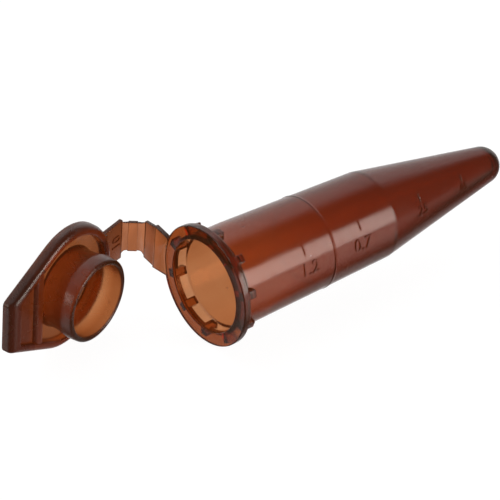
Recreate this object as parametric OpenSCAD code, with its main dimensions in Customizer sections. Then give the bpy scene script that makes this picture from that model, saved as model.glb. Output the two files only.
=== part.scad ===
// Flip-cap microcentrifuge tube, lying on its side with the lid hanging open on
// its two-fold living hinge. The mouth face lies in the plane y = 0 with its
// centre at the origin, the tube's axis runs along +Y to the closed tip, and the
// hinge strap leaves the flange along -X. Millimetres.
//
// The lid, strap and link are drawn laid flat in the plane of the flange, and
// are then folded about the two hinge lines.
// Lid coordinates: u runs from the plug axis towards the thumb tab, v is +Z,
// w is the direction the plug stands out of the lid's underside.

/* [Tube] */
// Overall length from the mouth face to the outside of the tip
tube_len = 39.5; // [38:0.1:41]
// Length from the mouth face to the shoulder where the cone starts
shoulder_y = 21.65; // [19:0.05:24]
// Outer radius of the rack seat just below the flange
seat_r = 5.30; // [5.25:0.01:5.33]
// Outer radius at the shoulder
shoulder_r = 4.79; // [4.6:0.01:4.95]
// Outer radius of the rounded tip
tip_r = 2.04; // [1.8:0.02:2.3]
// Inner radius at the shoulder
shoulder_bore_r = 3.98; // [3.8:0.02:4.1]
// Inner radius of the rounded tip
tip_bore_r = 1.15; // [0.9:0.05:1.3]

/* [Mouth] */
// Outer radius of the flange around the mouth
flange_r = 6.50; // [6.3:0.05:6.8]
// Thickness of the flange
flange_t = 0.85; // [0.7:0.05:1]
// Radius of the mouth and of the thin neck behind it
mouth_r = 5.00; // [4.95:0.01:5.1]
// Distance from the mouth face to the end of the thin neck
neck_end_y = 1.60; // [1.2:0.05:1.7]
// Radius of the straight bore the plug seals in
bore_r = 4.84; // [4.82:0.01:4.9]
// Length of that straight bore
bore_len = 3.0; // [2.6:0.1:4]
// Number of gusset ribs behind the flange
rib_count = 10; // [8:1:12]
// Radial reach of each rib
rib_r = 6.20; // [5.9:0.05:6.3]
// Width of each rib
rib_w = 0.90; // [0.6:0.05:1.2]
// Distance from the mouth face to the end of the ribs
rib_end_y = 1.90; // [1.4:0.05:2]

/* [Graduations] */
// Height of the raised marks above the wall
mark_h = 0.08; // [0.04:0.01:0.12]
// Width of the raised ticks along the axis
mark_w = 0.22; // [0.15:0.01:0.4]
// Angle, from the strap direction, where each tick starts
tick_from = 137; // [100:1:140]
// Angle, from the strap direction, where each tick ends
tick_to = 150; // [144:1:160]

/* [Hinge strap] */
// Distance from the tube axis to the first fold line
tube_fold_dist = 10.34; // [10.3:0.01:10.5]
// Distance from the plug axis to the second fold line
lid_fold_dist = 10.56; // [10.5:0.01:10.8]
// Distance between the two fold lines
link_len = 2.00; // [1.98:0.01:2.2]
// Distance of the hinge plane behind the mouth face
hinge_y = 0.30; // [0.28:0.01:0.36]
// Fold at each hinge line in this pose, where 90 closes the lid
fold_deg = 52.5; // [0:0.5:90]
// Half the width of the strap at the fold lines
strap_hw = 1.75; // [1.5:0.05:2]
// Half the width of the strap where it meets the flange
root_hw = 2.30; // [2.2:0.05:2.4]
// Thickness of the flexing webs
web_t = 0.28; // [0.2:0.02:0.3]
// Half the length of each web along the strap
web_half = 0.50; // [0.45:0.01:0.55]
// Thickness of the stiff link between the webs
link_t = 0.42; // [0.36:0.02:0.6]

/* [Lid] */
// Radius of the lid's round part
lid_r = 6.75; // [6.6:0.01:6.8]
// Distance from the plug axis to the end of the thumb tab
tab_end = 9.45; // [9:0.05:10]
// Taper of the lid's sides towards the tab, in degrees
tab_taper = 26; // [22:0.5:28]
// Lid's top face in w
lid_top_w = 0.18; // [0.1:0.02:0.2]
// Inside of the lid plate in w
lid_floor_w = 0.75; // [0.65:0.01:0.9]
// Edge of the lid rim in w
lid_rim_w = 1.55; // [1.4:0.01:1.56]
// Width of the lid rim
lid_rim_t = 1.00; // [0.8:0.05:1.1]
// Width of the rim across the end of the thumb tab
lid_end_t = 1.50; // [1.1:0.05:1.7]
// Near face of the cross wall in u
cross_u0 = 4.15; // [4.1:0.05:4.7]
// Far face of the cross wall in u
cross_u1 = 5.75; // [5.3:0.05:5.9]
// Edge of the cross wall in w
cross_w = 1.50; // [1.1:0.05:1.55]
// Inside of the thicker floor under the thumb tab in w
pad_w = 1.15; // [0.9:0.05:1.3]

/* [Plug] */
// End of the plug in w
plug_w = 4.95; // [4.6:0.01:5]
// Outer radius of the plug's neck
plug_neck_r = 4.26; // [4.1:0.01:4.3]
// Outer radius of the sealing bead
plug_bead_r = 4.56; // [4.4:0.01:4.57]
// Outer radius of the plug's rounded end
plug_end_r = 4.40; // [4.2:0.01:4.42]
// Inner radius of the hollow plug
plug_bore_r = 3.88; // [3.7:0.01:3.9]

/* [Hidden] */
$fn = 96;

// tube
seat_y0 = 2.0;                   // rack seat, where the barrel is a true cylinder
seat_y1 = 4.5;
collar_r = seat_r + 0.04;        // barrel at the flange, drafted down to the seat
bore_y0 = neck_end_y + 0.25;     // straight plug bore
bore_y1 = bore_y0 + bore_len;
tip_y = tube_len - tip_r;        // centre of the outer tip sphere
tip_bore_y = tip_y - 0.15;       // centre of the inner tip sphere
tip_steps = 14;                  // segments in each tip arc
flange_chamfer = 0.12;
rib_overlap = 0.4;               // rib length inside the collar before trimming
tick_ys = [9.37, 16.94, 25.75, 32.4];
ring_y = 13.15;                  // level ring round the barrel
ring_w = 0.2;
cutter_y0 = -1;                  // start and length of the cutters about the tube axis
cutter_len = 4;

// strap
root_end = 8.30;                 // thick root ends this far from the tube axis
root_t = 0.54;
root_far_y = hinge_y + 0.30;     // root's face nearer the tip
root_overlap = 0.4;              // root length inside the flange before trimming
root_flare = 0.28;               // extra half width at the root's far end
arm_t = 0.36;                    // stiff arm from the root to the first web
arm_hw = strap_hw + 0.5;         // half width of the stiff arms
arm_flare = 0.17;
bend_r = web_half / tan(max(fold_deg, 1) / 2);  // neutral radius of a bent web
link_hw = strap_hw + 0.04;
lug_t = 0.42;                    // stiff lug from the second web to the lid
lug_far_y = 0.14;
lug_flare = 0.1;
lug_root_x = -lid_fold_dist + lid_r - 0.6;  // thicker lug root against the lid
lug_root_y = -0.60;
lug_root_len = 1.0;

// plug
plug_foot_r = plug_neck_r + 0.12;  // flared foot on the lid plate
plug_foot_h = 0.35;
bead_w0 = 2.40;                  // ends of the sealing bead in w
bead_w1 = 4.02;

// Radius at y on the straight line through (y0, r0) and (y1, r1).
function line_r(y, y0, r0, y1, r1) = r0 + (r1 - r0) * (y - y0) / (y1 - y0);

// Contact point, as [radius, y], of the line from (start_r, start_y) that is
// tangent to a sphere of radius r centred on the axis at centre_y.
function contact(start_r, start_y, r, centre_y) =
    let (distance = norm([start_r, centre_y - start_y]),
         angle = atan2(start_r, start_y - centre_y) - acos(r / distance))
    [r * sin(angle), centre_y + r * cos(angle)];

// Arc of [radius, y] points about (0, centre_y), from a contact point to the axis.
function tip_arc(r, centre_y, start) =
    let (start_angle = atan2(start[0], start[1] - centre_y))
    [for (i = [0 : tip_steps])
        let (angle = start_angle * (1 - i / tip_steps))
        [r * sin(angle), centre_y + r * cos(angle)]];

function reversed(list) = [for (i = [len(list) - 1 : -1 : 0]) list[i]];

cone_end = contact(shoulder_r, shoulder_y, tip_r, tip_y);
cone_bore_end = contact(shoulder_bore_r, shoulder_y, tip_bore_r, tip_bore_y);

// Outer wall radius between flange and seat, and from the seat to the tip.
function collar(y) = line_r(y, flange_t, collar_r, seat_y0, seat_r);
function wall_r(y) = y < shoulder_y
    ? line_r(y, seat_y1, seat_r, shoulder_y, shoulder_r)
    : line_r(y, shoulder_y, shoulder_r, cone_end[1], cone_end[0]);

module amber() { color([0.52, 0.20, 0.09]) children(); }
module amber_dark() { color([0.40, 0.14, 0.06]) children(); }
module amber_light() { color([0.68, 0.38, 0.22]) children(); }

// Turns a profile of [radius, y] points about the +Y axis. Angles start at the
// strap direction, -X, and increase towards +Z.
module turned(from = 0, to = 360) {
    rotate([-90, 0, 0]) rotate([0, 0, 180 + from]) rotate_extrude(angle = to - from) children();
}

// Cutter about the tube's axis.
module axis_cutter(r1, r2) {
    translate([0, cutter_y0, 0]) rotate([-90, 0, 0]) cylinder(r1 = r1, r2 = r2, h = cutter_len);
}

// ---- tube ----
module tube_barrel() amber() turned() polygon([
    [mouth_r, flange_t], [collar_r, flange_t], [seat_r, seat_y0],
    [seat_r, seat_y1], [shoulder_r, shoulder_y], [shoulder_bore_r, shoulder_y],
    [bore_r, bore_y1], [bore_r, bore_y0], [mouth_r, neck_end_y]]);

module tube_cone() amber() turned() polygon(concat(
    [[shoulder_bore_r, shoulder_y], [shoulder_r, shoulder_y]],
    tip_arc(tip_r, tip_y, cone_end),
    reversed(tip_arc(tip_bore_r, tip_bore_y, cone_bore_end))));

module mouth_flange() amber_dark() turned() polygon([
    [mouth_r, 0], [flange_r - flange_chamfer, 0],
    [flange_r, flange_chamfer], [flange_r, flange_t - flange_chamfer],
    [flange_r - flange_chamfer, flange_t], [mouth_r, flange_t]]);

module flange_ribs() amber_dark() difference() {
    for (i = [0 : rib_count - 1])
        rotate([0, (i + 0.5) * 360 / rib_count, 0])
            translate([-rib_r, flange_t, -rib_w / 2])
                cube([rib_r - collar_r + rib_overlap, rib_end_y - flange_t, rib_w]);
    axis_cutter(collar(cutter_y0), collar(cutter_y0 + cutter_len));
}

// Raised mark of a given width centred on y, standing mark_h proud of the wall.
module mark(y, width, from = 0, to = 360) {
    y0 = y - width / 2;
    y1 = y + width / 2;
    turned(from, to) polygon([
        [wall_r(y0), y0], [wall_r(y0) + mark_h, y0 + mark_h / 2],
        [wall_r(y1) + mark_h, y1 - mark_h / 2], [wall_r(y1), y1]]);
}
module graduation_ticks() amber_light() {
    for (y = tick_ys) mark(y, mark_w, tick_from, tick_to);
}
module level_ring() amber_light() mark(ring_y, ring_w);

// ---- strap ----
// Frame of the link: origin on the first fold line, folded once.
module at_link() {
    translate([-tube_fold_dist, hinge_y, 0]) rotate([0, 0, fold_deg]) children();
}
// Frame of the lug: origin on the second fold line, folded twice.
module at_lug() {
    at_link() translate([-link_len, 0, 0]) rotate([0, 0, fold_deg]) children();
}

// Flat tapered slab from x0 to x1, with half widths hw0 and hw1 in z. It reaches
// from far_y back by its thickness towards -Y.
module tapered_slab(far_y, thickness, x0, hw0, x1, hw1) {
    translate([0, far_y, 0]) rotate([90, 0, 0]) linear_extrude(height = thickness)
        polygon([[x0, -hw0], [x1, -hw1], [x1, hw1], [x0, hw0]]);
}

// Thick root next to the flange, then the thinner arm out to the first web.
module strap_root() amber_light() difference() {
    union() {
        tapered_slab(root_far_y, root_t,
            -flange_r + root_overlap, root_hw, -root_end, root_hw + root_flare);
        tapered_slab(hinge_y + arm_t / 2, arm_t,
            -root_end, arm_hw + arm_flare, -tube_fold_dist + web_half, arm_hw);
    }
    axis_cutter(flange_r, flange_r);
}

// A web bent through the fold angle: an arc band whose ends are square to the
// two stiff parts it joins.
module bent_web() {
    translate([web_half, -bend_r, 0]) rotate([0, 0, 90]) translate([0, 0, -strap_hw])
        rotate_extrude(angle = fold_deg)
            translate([bend_r - web_t / 2, 0]) square([web_t, 2 * strap_hw]);
}
module tube_hinge_web() amber_light() translate([-tube_fold_dist, hinge_y, 0]) bent_web();
module strap_link() amber_light() at_link()
    translate([-link_len + web_half, -link_t / 2, -link_hw])
        cube([link_len - 2 * web_half, link_t, 2 * link_hw]);
module lid_hinge_web() amber_light() at_link() translate([-link_len, 0, 0]) bent_web();

module strap_lug() amber_light() difference() {
    at_lug() union() {
        tapered_slab(lug_far_y, lug_t, -web_half, arm_hw + lug_flare, lug_root_x, arm_hw);
        translate([lug_root_x, lug_root_y, -arm_hw])
            cube([lug_root_len, lug_far_y - lug_root_y, 2 * arm_hw]);
    }
    at_lid() translate([0, 0, -2]) cylinder(r = lid_r, h = 6);
}

// ---- lid ----
// Lid frame: drawn x, y, z are u, v, w, which lie along -X, +Z, -Y of the lug frame.
module at_lid() {
    at_lug() translate([-lid_fold_dist, 0, 0])
        multmatrix([[-1, 0, 0, 0], [0, 0, -1, 0], [0, 1, 0, 0], [0, 0, 0, 1]]) children();
}
// Extrudes an outline in u and v between two levels of w.
module lid_layer(w0, w1) {
    at_lid() translate([0, 0, w0]) linear_extrude(height = w1 - w0) children();
}

// Outline of the lid in u and v, moved inwards by inset, and by end_inset at the
// tab's end. The sides leave the round part as tangents, and on the inside a few
// degrees further round.
module lid_outline(inset = 0, end_inset = 0) {
    round_r = lid_r - inset;
    end_u = tab_end - end_inset;
    end_hw = (round_r - end_u * sin(tab_taper)) / cos(tab_taper);
    side_angle = inset > 0 ? tab_taper + 5 : tab_taper;
    side_u = round_r * sin(side_angle);
    side_v = round_r * cos(side_angle);
    union() {
        circle(r = round_r);
        polygon([[0, 0], [side_u, -side_v], [end_u, -end_hw], [end_u, end_hw], [side_u, side_v]]);
    }
}
module rim_inside() { lid_outline(lid_rim_t, lid_end_t); }
// Band across the inside of the rim, starting at u0.
module rim_inside_band(u0, length) {
    intersection() {
        rim_inside();
        translate([u0, -8]) square([length, 16]);
    }
}

module lid_plate() amber_dark() lid_layer(lid_top_w, lid_floor_w) lid_outline();
module lid_rim() amber_dark() lid_layer(lid_floor_w, lid_rim_w) difference() {
    lid_outline();
    rim_inside();
}
module lid_cross_wall() amber_dark() difference() {
    lid_layer(lid_floor_w, cross_w) rim_inside_band(cross_u0, cross_u1 - cross_u0);
    // the middle of the wall runs into the root of the plug
    at_lid() translate([0, 0, lid_floor_w])
        cylinder(r1 = plug_foot_r, r2 = plug_neck_r, h = plug_foot_h);
    at_lid() translate([0, 0, lid_floor_w + 0.2]) cylinder(r = plug_neck_r, h = 3);
}
module lid_tab_pad() amber_dark() lid_layer(lid_floor_w, pad_w) rim_inside_band(cross_u1, 6);

// Plug and bead profiles are [radius, w] points.
module lid_plug() amber() at_lid() rotate_extrude() polygon([
    [plug_bore_r, lid_floor_w], [plug_foot_r, lid_floor_w],
    [plug_neck_r, lid_floor_w + plug_foot_h], [plug_neck_r, bead_w1],
    [plug_end_r - 0.02, 4.30], [plug_end_r, plug_w - 0.28],
    [plug_end_r - 0.08, plug_w - 0.09], [plug_end_r - 0.24, plug_w],
    [plug_bore_r + 0.10, plug_w], [plug_bore_r, plug_w - 0.12]]);
module plug_seal_bead() amber() at_lid() rotate_extrude() polygon([
    [plug_neck_r, bead_w0], [plug_bead_r - 0.08, 3.30], [plug_bead_r, 3.55],
    [plug_bead_r - 0.02, 3.75], [plug_bead_r - 0.12, 3.92], [plug_neck_r, bead_w1]]);

tube_barrel();
tube_cone();
mouth_flange();
flange_ribs();
graduation_ticks();
level_ring();
strap_root();
tube_hinge_web();
strap_link();
lid_hinge_web();
strap_lug();
lid_plate();
lid_rim();
lid_cross_wall();
lid_tab_pad();
lid_plug();
plug_seal_bead();
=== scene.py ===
"""A small amber plastic tube with a tapered, rounded tip. Its lid hangs open on a folding strap.

Shapes are drawn in millimetres and scaled to metres when each piece is finished.
The tube's axis is +Y with the mouth face at y = 0, the strap leaves along -X, and +Z is up.
"""
import math
from math import cos, radians, sin

import bmesh
import bpy
import numpy as np
from mathutils import Matrix, Vector


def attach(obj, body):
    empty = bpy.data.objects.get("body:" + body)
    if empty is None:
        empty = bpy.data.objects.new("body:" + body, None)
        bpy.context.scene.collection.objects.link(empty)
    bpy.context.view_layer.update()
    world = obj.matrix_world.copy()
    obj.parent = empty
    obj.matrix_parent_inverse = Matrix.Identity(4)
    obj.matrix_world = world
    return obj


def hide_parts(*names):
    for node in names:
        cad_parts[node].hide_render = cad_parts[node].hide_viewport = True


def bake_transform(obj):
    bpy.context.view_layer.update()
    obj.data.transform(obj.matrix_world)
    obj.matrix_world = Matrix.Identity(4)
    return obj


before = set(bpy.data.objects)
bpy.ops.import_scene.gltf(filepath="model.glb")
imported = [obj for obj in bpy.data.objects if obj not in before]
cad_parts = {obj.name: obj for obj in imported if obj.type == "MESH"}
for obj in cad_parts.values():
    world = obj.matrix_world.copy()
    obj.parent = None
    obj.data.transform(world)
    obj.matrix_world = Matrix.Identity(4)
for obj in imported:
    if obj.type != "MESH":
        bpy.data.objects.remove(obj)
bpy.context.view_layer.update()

MM = 0.001
TUBE_SEGMENTS = 288
PLUG_SEGMENTS = 240
SHARP_ANGLE = radians(34)

# Tube: radii and places along Y
FLANGE_R, FLANGE_T = 6.50, 0.85
MOUTH_R, BORE_R = 5.00, 4.84
SEAT_R, SEAT_END_Y = 5.30, 4.5
SHOULDER_R, SHOULDER_IN_R, SHOULDER_Y = 4.79, 3.98, 21.65
TIP_R, TIP_Y = 2.04, 37.46                  # outer sphere of the tip and its centre
TIP_IN_R, TIP_IN_Y = 1.15, 37.31            # inner sphere and its centre
RING_Y = 13.15                              # raised level ring
RIB_COUNT = 10

# Strap: it folds by FOLD at each of two lines, one at each end of the link
FOLD = radians(52.5)
TUBE_TO_FOLD = 10.34                        # from the tube's axis
PLUG_TO_FOLD = 10.56                        # from the plug's axis
HINGE_Y = 0.30
LINK_LENGTH = 2.0
WEB_HALF = 0.50                             # fold line to either end of a web
WEB_GAP = 0.003                             # clearance between a web and its neighbours
STRAP_HALF_W, ARM_HALF_W = 1.75, 2.25
BEND_R = WEB_HALF / math.tan(FOLD / 2)

# Lid: u runs away from the strap, v is +Z, w runs from the outer face along the plug
LID_R = 6.75
TAB_END = 9.45
TAB_CORNER_R = 0.6
TAPER = radians(26)                         # each side of the tab leans in by this
LID_U = Vector((-cos(2 * FOLD), -sin(2 * FOLD), 0.0))
LID_V = Vector((0.0, 0.0, 1.0))
LID_W = Vector((sin(2 * FOLD), -cos(2 * FOLD), 0.0))
LID_FOLD = Vector((-TUBE_TO_FOLD - LINK_LENGTH * cos(FOLD), HINGE_Y - LINK_LENGTH * sin(FOLD), 0))
LID_CENTRE = LID_FOLD + PLUG_TO_FOLD * LID_U


# ---------------------------------------------------------------- mesh helpers
def read_mesh(mesh):
    bm = bmesh.new()
    bm.from_mesh(mesh)
    return bm


def write_mesh(bm, mesh):
    bm.to_mesh(mesh)
    bm.free()


def link_object(name, data):
    ob = bpy.data.objects.new(name, data)
    bpy.context.scene.collection.objects.link(ob)
    return ob


def evaluated_mesh(ob):
    bpy.context.view_layer.update()
    depsgraph = bpy.context.evaluated_depsgraph_get()
    return bpy.data.meshes.new_from_object(ob.evaluated_get(depsgraph))


def outward(bm):
    """Turns a closed mesh's faces outwards."""
    bm.normal_update()
    bmesh.ops.recalc_face_normals(bm, faces=bm.faces)
    if bm.calc_volume(signed=True) < 0:
        bmesh.ops.reverse_faces(bm, faces=bm.faces)
    bm.normal_update()


def mesh_object(name, verts, faces):
    mesh = bpy.data.meshes.new(name)
    mesh.from_pydata([tuple(float(c) for c in v) for v in verts], [], faces)
    mesh.validate()
    bm = read_mesh(mesh)
    bmesh.ops.remove_doubles(bm, verts=bm.verts, dist=1e-6)
    outward(bm)
    write_mesh(bm, mesh)
    return link_object(name, mesh)


def place_verts(bm, place):
    """Moves each vertex to place(x, y, z)."""
    for v in bm.verts:
        v.co = Vector(place(*v.co))
    outward(bm)


def is_closed(mesh):
    bm = read_mesh(mesh)
    closed = all(e.is_manifold for e in bm.edges)
    bm.free()
    return closed


def union(body, part):
    """Adds part to body as one closed mesh, and uses part up."""
    face_count = len(body.data.polygons)
    # the exact solver takes over if the fast one changes nothing or leaves the mesh open
    for solver in ("MANIFOLD", "EXACT"):
        modifier = body.modifiers.new("join", "BOOLEAN")
        modifier.operation, modifier.object, modifier.solver = "UNION", part, solver
        mesh = evaluated_mesh(body)
        body.modifiers.clear()
        if len(mesh.polygons) != face_count and is_closed(mesh):
            break
    body.data = mesh
    bpy.data.objects.remove(part)


def merged(name, parts):
    """Several closed meshes that don't touch, as one object."""
    bm = bmesh.new()
    for part in parts:
        bm.from_mesh(part.data)
    mesh = bpy.data.meshes.new(name)
    write_mesh(bm, mesh)
    for part in parts:
        bpy.data.objects.remove(part)
    return link_object(name, mesh)


def mirrored(side):
    """A closed outline from one side's (place, half width) points."""
    return [(x, -half) for x, half in side] + [(x, half) for x, half in reversed(side)]


def rounded(corners, closed, steps):
    """A polyline whose corners (x, y, radius) are turned into arcs."""
    out = []
    count = len(corners)
    for i, (x, y, radius) in enumerate(corners):
        if radius <= 0 or (not closed and i in (0, count - 1)):
            out.append((x, y))
            continue
        corner = np.array((x, y), float)
        back = np.array(corners[i - 1][:2], float) - corner
        ahead = np.array(corners[(i + 1) % count][:2], float) - corner
        back_len, ahead_len = np.linalg.norm(back), np.linalg.norm(ahead)
        back, ahead = back / back_len, ahead / ahead_len
        half = math.acos(max(-1, min(1, float(back @ ahead)))) / 2
        if half > radians(89.7):            # almost straight
            out.append((x, y))
            continue
        trim = min(radius / math.tan(half), 0.48 * back_len, 0.48 * ahead_len)
        radius = trim * math.tan(half)
        middle = (back + ahead) / np.linalg.norm(back + ahead)
        centre = corner + middle * radius / sin(half)
        start, end = corner + back * trim - centre, corner + ahead * trim - centre
        first = math.atan2(start[1], start[0])
        sweep = math.atan2(end[1], end[0]) - first
        sweep = (sweep + math.pi) % (2 * math.pi) - math.pi
        for k in range(steps + 1):
            a = first + sweep * k / steps
            out.append((centre[0] + radius * cos(a), centre[1] + radius * sin(a)))
    return out


def revolve(name, profile, place, segments, closed=False):
    """Turns (radius, height) points; place(radius, angle, height) gives the point in space."""
    verts, rings, faces = [], [], []
    for r, h in profile:
        if r < 1e-6:                        # a pole
            rings.append([len(verts)])
            verts.append(place(0, 0, h))
        else:
            rings.append(list(range(len(verts), len(verts) + segments)))
            for i in range(segments):
                verts.append(place(r, 2 * math.pi * i / segments, h))
    pairs = list(zip(rings, rings[1:])) + ([(rings[-1], rings[0])] if closed else [])
    for a, b in pairs:
        for i in range(segments):
            j = (i + 1) % segments
            if len(a) == 1:
                faces.append([a[0], b[j], b[i]])
            elif len(b) == 1:
                faces.append([a[i], a[j], b[0]])
            else:
                faces.append([a[i], a[j], b[j], b[i]])
    return mesh_object(name, verts, faces)


def prism(name, outline, lo, hi, place, bevel, segments=3):
    """An outline pushed from lo to hi with its edges rounded, then set in space by place."""
    n = len(outline)
    verts = [(a, b, lo) for a, b in outline] + [(a, b, hi) for a, b in outline]
    faces = [list(range(n))[::-1], list(range(n, 2 * n))]
    faces += [[i, (i + 1) % n, n + (i + 1) % n, n + i] for i in range(n)]
    ob = mesh_object(name, verts, faces)
    bm = read_mesh(ob.data)
    sharp = [e for e in bm.edges if e.is_manifold and e.calc_face_angle(0) > radians(25)]
    bmesh.ops.bevel(bm, geom=sharp, offset=bevel, segments=segments, profile=0.5,
                    affect="EDGES", clamp_overlap=True)
    place_verts(bm, place)
    write_mesh(bm, ob.data)
    return ob


def sweep_section(name, rows, size):
    """Joins rows of `size` points, given end to end in one list, into a capped bar."""
    faces = []
    last = len(rows) // size - 1
    for i in range(last):
        for k in range(size):
            k2 = (k + 1) % size
            faces.append([i * size + k, (i + 1) * size + k, (i + 1) * size + k2, i * size + k2])
    faces.append(list(range(size)))
    faces.append([last * size + k for k in range(size)][::-1])
    return mesh_object(name, rows, faces)


def finish_mesh(ob):
    """Millimetres to metres, smooth shading with real edges kept."""
    mesh = ob.data
    mesh.transform(Matrix.Scale(MM, 4))
    bm = read_mesh(mesh)
    bmesh.ops.dissolve_degenerate(bm, edges=bm.edges, dist=1e-8)
    write_mesh(bm, mesh)
    mesh.materials.clear()
    mesh.polygons.foreach_set("material_index", [0] * len(mesh.polygons))
    mesh.polygons.foreach_set("use_smooth", [True] * len(mesh.polygons))
    mesh.set_sharp_from_angle(angle=SHARP_ANGLE)
    mesh.update()
    return ob


# ---------------------------------------------------------------- lettering
TEXT_SLICE = 0.18       # height of the bands the letters are cut into, so that they can bend


def text_mesh(text, size):
    """Centred lettering as closed meshes, x along the line, y up, z from -1.045 to 1.045."""
    curve = bpy.data.curves.new("figure", "FONT")
    curve.body, curve.size, curve.extrude = text, size, 1.0
    curve.resolution_u, curve.offset = 4, -0.02
    curve.bevel_depth, curve.bevel_resolution = 0.045, 0
    curve.align_x, curve.align_y = "CENTER", "CENTER"
    ob = link_object("figure", curve)
    mesh = evaluated_mesh(ob)
    bpy.data.objects.remove(ob)
    bm = read_mesh(mesh)
    bmesh.ops.remove_doubles(bm, verts=bm.verts, dist=1e-5)
    bmesh.ops.triangulate(bm, faces=bm.faces)
    up = Vector((0, 1, 0))
    top = max(v.co @ up for v in bm.verts)
    cut = min(v.co @ up for v in bm.verts) + TEXT_SLICE
    while cut < top:
        geom = bm.verts[:] + bm.edges[:] + bm.faces[:]
        bmesh.ops.bisect_plane(bm, geom=geom, plane_co=up * cut, plane_no=up, dist=1e-6)
        cut += TEXT_SLICE
    bmesh.ops.recalc_face_normals(bm, faces=bm.faces)
    write_mesh(bm, mesh)
    return mesh


def lettering(text, size, levels, place):
    """Raised lettering. levels are the heights of its face, the face's bevelled edge and
    its buried base; place(x, y, height) gives the point in space."""
    face, edge, base = levels

    def place_level(x, y, z):
        return place(x, y, face if z > 1.02 else (edge if z > 0 else base))

    mesh = text_mesh(text, size)
    bm = read_mesh(mesh)
    place_verts(bm, place_level)
    write_mesh(bm, mesh)
    return link_object("figure", mesh)


# ---------------------------------------------------------------- tube
# level ring's section: (distance along Y from its middle, height over the wall)
RING_SECTION = [
    (0.30, 0), (0.20, 0), (0.13, 0.004), (0.08, 0.040), (0.03, 0.055),
    (-0.03, 0.055), (-0.08, 0.040), (-0.13, 0.004), (-0.20, 0), (-0.30, 0),
]
TICKS_Y = (9.37, 16.94, 25.75, 32.4)
TICK_HALF, TICK_HEIGHT, TICK_STEPS = 0.13, 0.08, 24
TICK_START, TICK_END = radians(137), radians(150)
# graduation figures: (text, y, angle round the tube in degrees, size)
FIGURES = [("1.2", 9.70, 167, 2.0), ("0.7", 16.9, 167, 1.9),
           (".25", 25.75, 162, 1.5), (".05", 32.4, 162, 1.1)]


def tube_point(r, angle, y):
    """The angle starts at -X and turns towards +Z."""
    return (-r * cos(angle), y, r * sin(angle))


def contact(r0, y0, r, centre_y):
    """Where a line from (r0, y0) touches the sphere: radius, y and the angle from its pole."""
    distance = math.hypot(r0, centre_y - y0)
    t = math.atan2(r0, y0 - centre_y) - math.acos(r / distance)
    return r * sin(t), centre_y + r * cos(t), t


def wall_radius(y):
    """Outer radius of the barrel or the cone at y, from the end of the seat to the tip."""
    if y < SHOULDER_Y:
        return SEAT_R + (SHOULDER_R - SEAT_R) * (y - SEAT_END_Y) / (SHOULDER_Y - SEAT_END_Y)
    r, end_y, _ = contact(SHOULDER_R, SHOULDER_Y, TIP_R, TIP_Y)
    return SHOULDER_R + (r - SHOULDER_R) * (y - SHOULDER_Y) / (end_y - SHOULDER_Y)


def arc_from_pole(r, centre_y, angle, n):
    return [(r * sin(angle * i / n), centre_y + r * cos(angle * i / n)) for i in range(n + 1)]


def tube_profile():
    """(radius, y) from the outer pole of the tip, round the mouth, to the inner pole."""
    tip_angle = contact(SHOULDER_R, SHOULDER_Y, TIP_R, TIP_Y)[2]
    tip_in_angle = contact(SHOULDER_IN_R, SHOULDER_Y, TIP_IN_R, TIP_IN_Y)[2]
    outer = arc_from_pole(TIP_R, TIP_Y, tip_angle, 16)
    inner = arc_from_pole(TIP_IN_R, TIP_IN_Y, tip_in_angle, 14)
    # extra rings along the wall keep its shading even beside the raised marks
    cone = [(wall_radius(y), y, 0) for y in np.arange(35.5, 22.2, -0.9)]
    barrel = [(wall_radius(y), y, 0) for y in np.arange(21.0, 4.9, -0.6)
              if abs(y - RING_Y) > 0.45]
    barrel += [(wall_radius(RING_Y + s) + h, RING_Y + s, 0) for s, h in RING_SECTION]
    barrel.sort(key=lambda point: -point[1])
    # (radius, y, corner rounding)
    corners = [
        outer[-1] + (0,),
        *cone,
        (SHOULDER_R, SHOULDER_Y, 1.6),
        *barrel,
        (SEAT_R, SEAT_END_Y, 6), (SEAT_R, 2.0, 2), (5.34, FLANGE_T, 0.14),
        (FLANGE_R, FLANGE_T, 0.16), (FLANGE_R, 0.0, 0.17),
        (MOUTH_R, 0.0, 0.10), (MOUTH_R, 1.60, 0.4),
        (BORE_R, 1.85, 0.4), (BORE_R, 4.85, 6),
        (SHOULDER_IN_R, SHOULDER_Y, 2.0),
        inner[-1] + (0,),
    ]
    return outer[:-1] + rounded(corners, closed=False, steps=6) + inner[:-1][::-1]


def make_rib(index):
    """A rib under the flange, at its place round the tube."""
    turn = Matrix.Rotation(radians(18 + 360 // RIB_COUNT * index), 3, "Y")
    return prism("rib", mirrored([(5.12, 0.45), (6.20, 0.45)]), 0.55, 1.90,
                 lambda x, z, y: turn @ Vector((-x, y, z)), bevel=0.09)


def make_tick(y):
    """A small ridge round part of the wall, sunk a little into it and lower at its ends."""
    half, height = TICK_HALF, TICK_HEIGHT
    # (distance along Y, height over the wall)
    section = [(-half, -0.05), (-half, 0.0), (-half * 0.35, height * 0.85), (0, height),
               (half * 0.35, height * 0.85), (half, 0.0), (half, -0.05)]
    verts = []
    for i in range(TICK_STEPS + 1):
        a = TICK_START + (TICK_END - TICK_START) * i / TICK_STEPS
        fade = min(1.0, 0.25 + 0.75 * min(i, TICK_STEPS - i) / 2.0)
        for s, h in section:
            r = wall_radius(y + s) + (h * fade if h > 0 else h)
            verts.append(tube_point(r, a, y + s))
    return sweep_section("ridge", verts, len(section))


def make_figure(text, y, degrees, size):
    """A raised figure on the wall that reads along the axis from the mouth."""
    def place(along, across, height):
        r = wall_radius(y + along)
        return tube_point(r + height, radians(degrees) - across / r, y + along)

    return lettering(text, size, (0.12, 0.02, -0.06), place)


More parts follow.
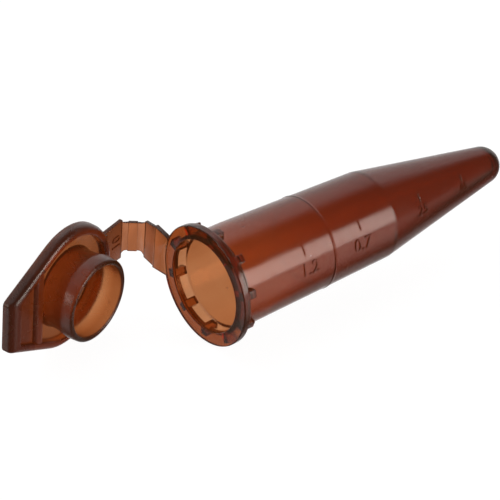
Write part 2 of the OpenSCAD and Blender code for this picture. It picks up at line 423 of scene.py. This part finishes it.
def make_tube():
    tube = revolve("tube_shell", tube_profile(), tube_point, TUBE_SEGMENTS)
    ribs = [make_rib(k) for k in range(RIB_COUNT)]
    union(tube, merged("tube_marks", ribs + [make_tick(y) for y in TICKS_Y]))
    union(tube, merged("figures", [make_figure(*figure) for figure in FIGURES]))

    # the strap's root, a thick part and a thinner arm
    def side(x, z, y):
        return (x, y, z)

    thick_end, arm_end = -8.30, -(TUBE_TO_FOLD - WEB_HALF - WEB_GAP)
    thick = mirrored([(-6.1, 2.32), (thick_end, 2.60)])
    union(tube, prism("root_thick", thick, 0.06, 0.60, side, bevel=0.08))
    arm = mirrored([(-8.05, 2.44), (thick_end, 2.43), (arm_end, ARM_HALF_W)])
    union(tube, prism("root_arm", arm, 0.12, 0.48, side, bevel=0.06))
    return finish_mesh(tube)


# ---------------------------------------------------------------- lid
# plug's section with its sealing bead: (radius, w, corner rounding)
PLUG_SECTION = [
    (3.88, 0.50, 0), (4.46, 0.50, 0), (4.42, 0.86, 0.1), (4.26, 1.30, 0.9), (4.26, 2.30, 3.0),
    (4.545, 3.55, 2.0), (4.52, 4.10, 3.0), (4.46, 4.95, 0.30), (3.88, 4.95, 0.24),
]


def lid_point(u, v, w):
    return LID_CENTRE + LID_U * u + LID_V * v + LID_W * w


def lid_polar(r, angle, w):
    return lid_point(r * cos(angle), r * sin(angle), w)


def lid_radius(theta, inset, end_inset):
    """Distance from the plug axis to the lid's outline moved in by inset, and by end_inset
    at the tab's end, with rounded tab corners."""
    t = abs((theta + math.pi) % (2 * math.pi) - math.pi)
    r, end = LID_R - inset, TAB_END - end_inset
    side = math.pi / 2 - TAPER
    if t >= side:
        return r
    corner_r = max(TAB_CORNER_R - inset * 0.5, 0.12)
    corner_u = end - corner_r
    corner_v = ((r - corner_r) - corner_u * sin(TAPER)) / cos(TAPER)
    t_end = math.atan2(corner_v, end)
    t_side = math.atan2(corner_v + corner_r * cos(TAPER), corner_u + corner_r * sin(TAPER))
    if t <= t_end:
        return end / cos(t)
    if t >= t_side:
        return r / cos(t - side)
    b = corner_u * cos(t) + corner_v * sin(t)
    return b + math.sqrt(max(b * b - (corner_u * corner_u + corner_v * corner_v
                                      - corner_r * corner_r), 0))


def lid_angles():
    """Even angles round the plug axis, with more of them at the tab's corners."""
    angles = set(round(radians(a), 9) for a in np.arange(-180, 180, 1.5))
    for inset, end_inset in ((0.0, 0.0), (0.4, 0.5), (1.0, 1.5)):
        r, end = LID_R - inset, TAB_END - end_inset
        corner = math.atan2((r - end * sin(TAPER)) / cos(TAPER), end)
        for k in np.linspace(-5, 5, 21):
            for sign in (1, -1):
                angles.add(round(sign * (corner + radians(k)), 9))
    angles = sorted(angles)
    keep = [angles[0]]
    for a in angles[1:]:
        if a - keep[-1] > 0.0035:
            keep.append(a)
    return keep


def make_plate():
    """The lid's plate and its rim, as loops from the outer face round to the floor inside."""
    angles = lid_angles()
    n = len(angles)
    quarter = math.pi / 2
    # (inset, inset at the tab's end, w)
    loops = [(0.30, 0.30, 0.18), (0.14, 0.14, 0.18), (0.05, 0.05, 0.205),
             (0.012, 0.012, 0.25), (0.0, 0.0, 0.32), (0.0, 0.0, 0.60)]
    loops += [(0.60 * (1 - cos(t)), 1.05 * (1 - cos(t)), 0.84 + 0.71 * sin(t))
              for t in np.linspace(0, quarter, 15)]
    loops += [(0.78 + 0.22 * sin(t), 1.28 + 0.22 * sin(t), 1.33 + 0.22 * cos(t))
              for t in np.linspace(0, quarter, 7)]
    loops += [(1.00, 1.50, 0.98), (1.02, 1.52, 0.87), (1.08, 1.58, 0.79), (1.18, 1.68, 0.75)]
    verts = [lid_polar(lid_radius(a, inset, end_inset), a, w)
             for inset, end_inset, w in loops for a in angles]
    return sweep_section("cap_shell", verts, n)


def tab_band(u0, u1, inset):
    """The part of the tab's outline, moved in by inset, from u0 to u1."""
    return mirrored([(u, (LID_R - inset - u * sin(TAPER)) / cos(TAPER)) for u in (u0, u1)])


def make_lid():
    lid = make_plate()
    # hollow plug, sunk into the plate
    plug = rounded(PLUG_SECTION, closed=True, steps=7)
    union(lid, revolve("plug", plug, lid_polar, PLUG_SEGMENTS, closed=True))

    lug_end = -PLUG_TO_FOLD + WEB_HALF + WEB_GAP
    # (name, outline, lowest w, highest w, bevel, bevel segments)
    parts = [
        # thicker floor in the tab, and the straight wall across it
        ("pad", tab_band(5.30, TAB_END - 0.70, 0.50), 0.45, 1.15, 0.04, 3),
        ("cross", tab_band(4.12, 5.75, 0.55), 0.35, 1.50, 0.74, 10),
        # lug that carries the second hinge web, and its heel at the plate
        ("lug", mirrored([(lug_end, 2.36), (-6.40, 2.25)]), -0.14, 0.28, 0.06, 3),
        ("heel", mirrored([(-7.15, 2.22), (-6.20, 2.22)]), -0.12, 0.60, 0.10, 3),
    ]
    for name, outline, lo, hi, bevel, segments in parts:
        union(lid, prism(name, outline, lo, hi, lid_point, bevel, segments))

    # small cavity figures on the lug
    union(lid, lettering("01", 1.75, (0.40, 0.30, 0.18),
                         lambda x, y, height: lid_point(-8.95 - y, 0.05 - x, height)))
    return finish_mesh(lid)


# ---------------------------------------------------------------- hinge
WEB_HALF_T = 0.14
WEB_STEPS = 28


def tube_fold_point(x, y, z):
    """A point given from the first fold line, square to the tube."""
    return (-TUBE_TO_FOLD + x, HINGE_Y + y, z)


def link_point(x, y, z):
    """A point given from the first fold line, turned with the link, which runs along -x."""
    c, s = cos(FOLD), sin(FOLD)
    return (-TUBE_TO_FOLD + c * x - s * y, HINGE_Y + s * x + c * y, z)


def lid_fold_point(x, y, z):
    """A point given from the second fold line, turned with the link."""
    return link_point(-LINK_LENGTH + x, y, z)


def make_link():
    half = STRAP_HALF_W + 0.04
    outline = mirrored([(-LINK_LENGTH + WEB_HALF + WEB_GAP, half), (-WEB_HALF - WEB_GAP, half)])
    return finish_mesh(prism("link_slab", outline, -0.21, 0.21,
                             lambda x, z, y: link_point(x, y, z), bevel=0.07))


def make_web(name, place, wide_first):
    """A thin band bent through the fold, with rounded long edges. It flares to nearly the
    stiff arm's width at its first or last end."""
    half = STRAP_HALF_W
    corners = mirrored([(-WEB_HALF_T, half), (WEB_HALF_T, half)])
    section = rounded([(t, z, 0.10) for t, z in corners], closed=True, steps=4)
    gap = WEB_GAP / BEND_R
    verts = []
    for i in range(WEB_STEPS + 1):
        a = math.pi / 2 + gap + (FOLD - 2 * gap) * i / WEB_STEPS
        away = (i if wide_first else WEB_STEPS - i) / WEB_STEPS
        flare = 1 + (ARM_HALF_W - 0.06 - half) / half * max(0.0, 1 - away / 0.75) ** 2
        for t, z in section:
            r = BEND_R + t
            verts.append(place(WEB_HALF + r * cos(a), -BEND_R + r * sin(a), z * flare))
    return finish_mesh(sweep_section(name, verts, len(section)))


# ---------------------------------------------------------------- shader helpers
class Shader:
    """Builds the node tree of a material or a world."""

    def __init__(self, owner):
        owner.use_nodes = True
        self.nodes, self.links = owner.node_tree.nodes, owner.node_tree.links
        self.nodes.clear()

    def add(self, kind, inputs, **settings):
        """A node; each of its inputs is given a value or the socket that feeds it."""
        node = self.nodes.new("ShaderNode" + kind)
        for key, value in settings.items():
            setattr(node, key, value)
        for key, value in inputs.items():
            if isinstance(value, bpy.types.NodeSocket):
                self.links.new(value, node.inputs[key])
            else:
                node.inputs[key].default_value = value
        return node

    def math(self, operation, *values):
        return self.add("Math", dict(enumerate(values)), operation=operation).outputs[0]

    def ramp(self, value, span, to=(0, 1), kind="SMOOTHSTEP"):
        inputs = {"From Min": span[0], "From Max": span[1],
                  "To Min": to[0], "To Max": to[1], "Value": value}
        return self.add("MapRange", inputs, interpolation_type=kind).outputs[0]

    def dot(self, vector, direction):
        return self.add("VectorMath", {0: vector, 1: direction},
                        operation="DOT_PRODUCT").outputs["Value"]

    def noise(self, vector, scale, detail, roughness=0.5):
        return self.add("TexNoise", {"Scale": scale, "Detail": detail, "Roughness": roughness,
                                     "Vector": vector}).outputs[0]

    def mix(self, first, second, factor, **settings):
        return self.add("Mix", {"A": first, "B": second, "Factor": factor},
                        data_type="RGBA", **settings).outputs["Result"]


# ---------------------------------------------------------------- materials
TINT, STREAK_TINT = (0.80, 0.53, 0.38), (0.75, 0.47, 0.32)      # per wall, and its flow lines
ABSORPTION = (0.88, 1.95, 3.1)                                  # per mm, for red, green, blue


def amber(name, tint, streak_tint, rough=(0.10, 0.17), painted_shade_zones=(), frost=None):
    """Clear amber plastic: tinted mostly by its thickness, slightly hazy, with faint flow
    lines, mould texture, specks and scuffs, and a faint painted glow. A painted-shade zone
    darkens the tint by a factor past a plane, and frost adds roughness past one. A plane has
    a direction and a span in mm."""
    material = bpy.data.materials.new(name)
    sh = Shader(material)
    coords = sh.add("TexCoord", {}).outputs["Object"]

    def stretched(scale=(1, 1, 1)):
        return sh.add("Mapping", {"Scale": scale, "Vector": coords}).outputs[0]

    def past(plane, to=(0, 1)):
        along = sh.dot(coords, [c / MM for c in plane["direction"]])
        return sh.ramp(along, plane["span"], to)

    # flow lines a few mm long
    flow = sh.noise(stretched((1.0, 0.25, 1.0)), scale=420, detail=3, roughness=0.6)
    # slow thickness and haze changes
    cloud = sh.noise(stretched(), scale=230, detail=2, roughness=0.5)
    # mould texture
    fine = sh.noise(stretched(), scale=5200, detail=3, roughness=0.6)
    # specks, in patches
    cells = sh.add("TexVoronoi", {"Scale": 780, "Vector": stretched()}).outputs["Distance"]
    patches = sh.noise(stretched((1.3, 1, 0.8)), scale=310, detail=1, roughness=0.4)
    patches = sh.ramp(patches, span=(0.56, 0.66))
    speck = sh.math("MULTIPLY", sh.ramp(cells, span=(0.05, 0.11), to=(1, 0)), patches)
    # scuffs
    scuff = sh.noise(stretched((0.35, 3.2, 1.0)), scale=900, detail=2, roughness=0.7)
    scuff = sh.ramp(scuff, span=(0.66, 0.74))

    colour = sh.mix((*tint, 1), (*streak_tint, 1), sh.ramp(flow, span=(0.35, 0.65)))
    speck_tint = (tint[0] * 0.35, tint[1] * 0.3, tint[2] * 0.3, 1)
    colour = sh.mix(colour, speck_tint, sh.math("MULTIPLY", speck, 0.75))
    # painted shade: each zone multiplies the tint darker past its plane
    for shade_zone in painted_shade_zones:
        colour = sh.mix(colour, (*shade_zone["factor"], 1), past(shade_zone), blend_type="MULTIPLY")

    roughness = sh.ramp(cloud, span=(0.3, 0.7), to=rough)
    for layer, weight in ((scuff, 0.10), (speck, 0.25)):
        roughness = sh.math("ADD", roughness, sh.math("MULTIPLY", layer, weight))
    if frost:
        roughness = sh.math("ADD", roughness, past(frost, to=(0, frost["extra"])))

    # the share of each layer in the surface relief
    height = sh.math("MULTIPLY", fine, 0.35)
    for layer, weight in ((flow, 1.6), (cloud, 5.0), (scuff, -0.8), (speck, 4.0)):
        height = sh.math("ADD", height, sh.math("MULTIPLY", layer, weight))
    bump = sh.add("Bump", {"Strength": 1.0, "Distance": 0.0000035, "Height": height})

    surface = sh.add("BsdfPrincipled", {
        "Base Color": colour,
        "Transmission Weight": 0.985,
        # painted glow: a faint orange emission stands in for the little light that
        # scatters back out of the plastic
        "Emission Color": (1.0, 0.27, 0.03, 1),
        "Emission Strength": 0.016,
        "IOR": 1.5,
        "Roughness": roughness,
        "Normal": bump.outputs[0],
    })
    # the absorption colour is what passes, so the density is a little over the largest
    top = max(ABSORPTION) * 1.05
    volume = sh.add("VolumeAbsorption", {
        "Color": (*[1 - a / top for a in ABSORPTION], 1), "Density": top * 1000})
    sh.add("OutputMaterial", {"Surface": surface.outputs[0], "Volume": volume.outputs[0]})
    return material


def amber_body():
    return amber("amber_body", TINT, STREAK_TINT, painted_shade_zones=(
        # painted shade on the strap's root, deeper on its thinner arm
        dict(direction=(-1, 0, 0), span=(6.5, 7.0), factor=(0.90, 0.82, 0.85)),
        dict(direction=(-1, 0, 0), span=(8.26, 8.34), factor=(0.66, 0.56, 0.56))))


def amber_lid():
    u0, w0 = LID_CENTRE.dot(LID_U), LID_CENTRE.dot(LID_W)
    return amber("amber_lid", TINT, STREAK_TINT, rough=(0.24, 0.32), painted_shade_zones=(
        # painted shade on the lug, then on the tab
        dict(direction=-LID_U, span=(6.9 - u0, 7.1 - u0), factor=(0.60, 0.46, 0.46)),
        dict(direction=LID_U, span=(5.6 + u0, 5.9 + u0), factor=(0.62, 0.55, 0.70))),
        # the outer face
        frost=dict(direction=-LID_W, span=(-w0 - 0.26, -w0 - 0.20), extra=0.30))


def floor_material():
    material = bpy.data.materials.new("pale_floor")
    sh = Shader(material)
    coords = sh.add("TexCoord", {}).outputs["Object"]
    grey = sh.ramp(sh.noise(coords, scale=900, detail=3), span=(0, 1), to=(0.14, 0.18),
                   kind="LINEAR")
    surface = sh.add("BsdfPrincipled", {
        "Base Color": grey, "Roughness": 0.9,
        "Emission Color": (1, 1, 1, 1), "Emission Strength": 0.95})
    sh.add("OutputMaterial", {"Surface": surface.outputs[0]})
    return material


# ---------------------------------------------------------------- studio
def make_world():
    """A small product studio as seen by the plastic: soft pale patches, three boxes of warm
    light and a dark room elsewhere. The camera sees white. Angles are in degrees, azimuth
    from +X towards +Y and elevation from the horizon."""
    world = bpy.data.worlds.new("studio")
    bpy.context.scene.world = world
    sh = Shader(world)
    generated = sh.add("TexCoord", {}).outputs["Generated"]
    x, y, z = sh.add("SeparateXYZ", {0: generated}).outputs
    azimuth_at = sh.math("MULTIPLY", sh.math("ARCTAN2", y, x), 180 / math.pi)
    elevation_at = sh.math("MULTIPLY", sh.math("ARCSINE", z), 180 / math.pi)

    def window(angle, edges):
        """Rises over the first two edges and falls over the last two."""
        return sh.math("MULTIPLY", sh.ramp(angle, span=edges[:2]),
                       sh.ramp(angle, span=edges[2:], to=(1, 0)))

    def box(azimuth, elevation, strength):
        patch = sh.math("MULTIPLY", window(azimuth_at, azimuth), window(elevation_at, elevation))
        return sh.math("MULTIPLY", patch, strength)

    def lobe(azimuth, elevation, inner, outer, strength):
        """A round patch, full inside the inner angle and gone at the outer one."""
        a, e = radians(azimuth), radians(elevation)
        facing = sh.dot(generated, (cos(a) * cos(e), sin(a) * cos(e), sin(e)))
        return sh.ramp(facing, span=(cos(radians(outer)), cos(radians(inner))),
                       to=(0, strength))

    def light(parts, colour):
        total = parts[0]
        for part in parts[1:]:
            total = sh.math("ADD", part, total)
        return sh.add("Background", {"Strength": total, "Color": (*colour, 1)}).outputs[0]

    room = light([
        # backdrop, on the -X +Y side
        lobe(azimuth=152, elevation=0, inner=42, outer=68, strength=0.72),
        # ceiling on the -X side
        lobe(azimuth=-160, elevation=55, inner=25, outer=50, strength=0.55),
        # table on the -Y side, then on the +Y side
        lobe(azimuth=-105, elevation=-38, inner=12, outer=33, strength=0.60),
        lobe(azimuth=108, elevation=-58, inner=14, outer=34, strength=0.30),
        # the same dim light from everywhere
        sh.math("ADD", 0.07, 0.0),
    ], colour=(1.0, 1.0, 1.0))
    boxes = light([
        # large soft box on the +X +Y side, and its glow on the table
        box(azimuth=(8, 18, 42, 52), elevation=(-4, 6, 25, 36), strength=4.7),
        box(azimuth=(10, 25, 42, 60), elevation=(-54, -8, -6, 2), strength=1.15),
        # narrow soft box on the -Y side
        box(azimuth=(-122, -112, -96, -86), elevation=(-4, 6, 22, 30), strength=2.5),
    ], colour=(1.0, 0.93, 0.85))
    studio = sh.add("AddShader", {0: room, 1: boxes}).outputs[0]
    white = sh.add("Background", {"Color": (1, 1, 1, 1), "Strength": 1.0}).outputs[0]
    is_camera = sh.add("LightPath", {}).outputs["Is Camera Ray"]
    seen = sh.add("MixShader", {0: is_camera, 1: studio, 2: white}).outputs[0]
    sh.add("OutputWorld", {"Surface": seen})


def make_floor():
    """A pale square grid, in metres, that the plastic neither reflects nor refracts."""
    n, half, z = 24, 0.6, -0.00658
    row = n + 1
    verts = [(-half + 2 * half * i / n, -half + 2 * half * j / n, z)
             for j in range(row) for i in range(row)]
    faces = [[j * row + i, j * row + i + 1, (j + 1) * row + i + 1, (j + 1) * row + i]
             for j in range(n) for i in range(n)]
    mesh = bpy.data.meshes.new("studio_floor")
    mesh.from_pydata(verts, [], faces)
    ob = link_object("studio_floor", mesh)
    ob.visible_glossy = False
    ob.visible_transmission = False
    mesh.materials.append(floor_material())


def make_camera():
    camera = bpy.data.cameras.new("camera")
    camera.sensor_width, camera.lens = 36, 288
    camera.clip_start, camera.clip_end = 0.01, 10
    ob = link_object("camera", camera)
    forward = Vector((-0.606408, 0.541236, -0.582523)).normalized()
    up = Vector((-0.480013, 0.334872, 0.810832))
    right = forward.cross(up).normalized()
    up = right.cross(forward)
    matrix = Matrix((right, up, -forward)).transposed().to_4x4()
    matrix.translation = Vector((0.244403, -0.212280, 0.236876))
    ob.matrix_world = matrix
    bpy.context.scene.camera = ob


def set_render():
    scene = bpy.context.scene
    scene.view_settings.view_transform = "Standard"
    scene.view_settings.look = "None"
    cycles = scene.cycles
    cycles.max_bounces = 20
    cycles.transmission_bounces = 20
    cycles.glossy_bounces = 10
    cycles.transparent_max_bounces = 24
    cycles.volume_bounces = 0
    cycles.sample_clamp_indirect = 6.0
    cycles.use_denoising = True


# ---------------------------------------------------------------- build
tube = make_tube()
lid = make_lid()
link = make_link()
tube_web = make_web("tube_web_band", tube_fold_point, wide_first=True)
lid_web = make_web("lid_web_band", lid_fold_point, wide_first=False)

tube.data.materials.append(amber_body())
lid.data.materials.append(amber_lid())
# the strap's link and webs take darker copies of the amber tint, a painted shade
link.data.materials.append(amber("amber_strap", (0.71, 0.39, 0.27), (0.66, 0.35, 0.23)))
painted_shade_web_material = amber("amber_web", (0.65, 0.34, 0.23), (0.60, 0.30, 0.20))
for web in (tube_web, lid_web):
    web.data.materials.append(painted_shade_web_material)

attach(tube, "tube")
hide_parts("tube_barrel", "tube_cone", "mouth_flange", "flange_ribs",
            "graduation_ticks", "level_ring", "strap_root")
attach(lid, "lid")
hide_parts("strap_lug", "lid_plate", "lid_rim", "lid_cross_wall", "lid_tab_pad",
            "lid_plug", "plug_seal_bead")
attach(link, "link")
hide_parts("strap_link")
# each web bends between its two ends, given in metres
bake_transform(tube_web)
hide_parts("tube_hinge_web")
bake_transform(lid_web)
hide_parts("lid_hinge_web")

make_floor()
make_world()
make_camera()
set_render()
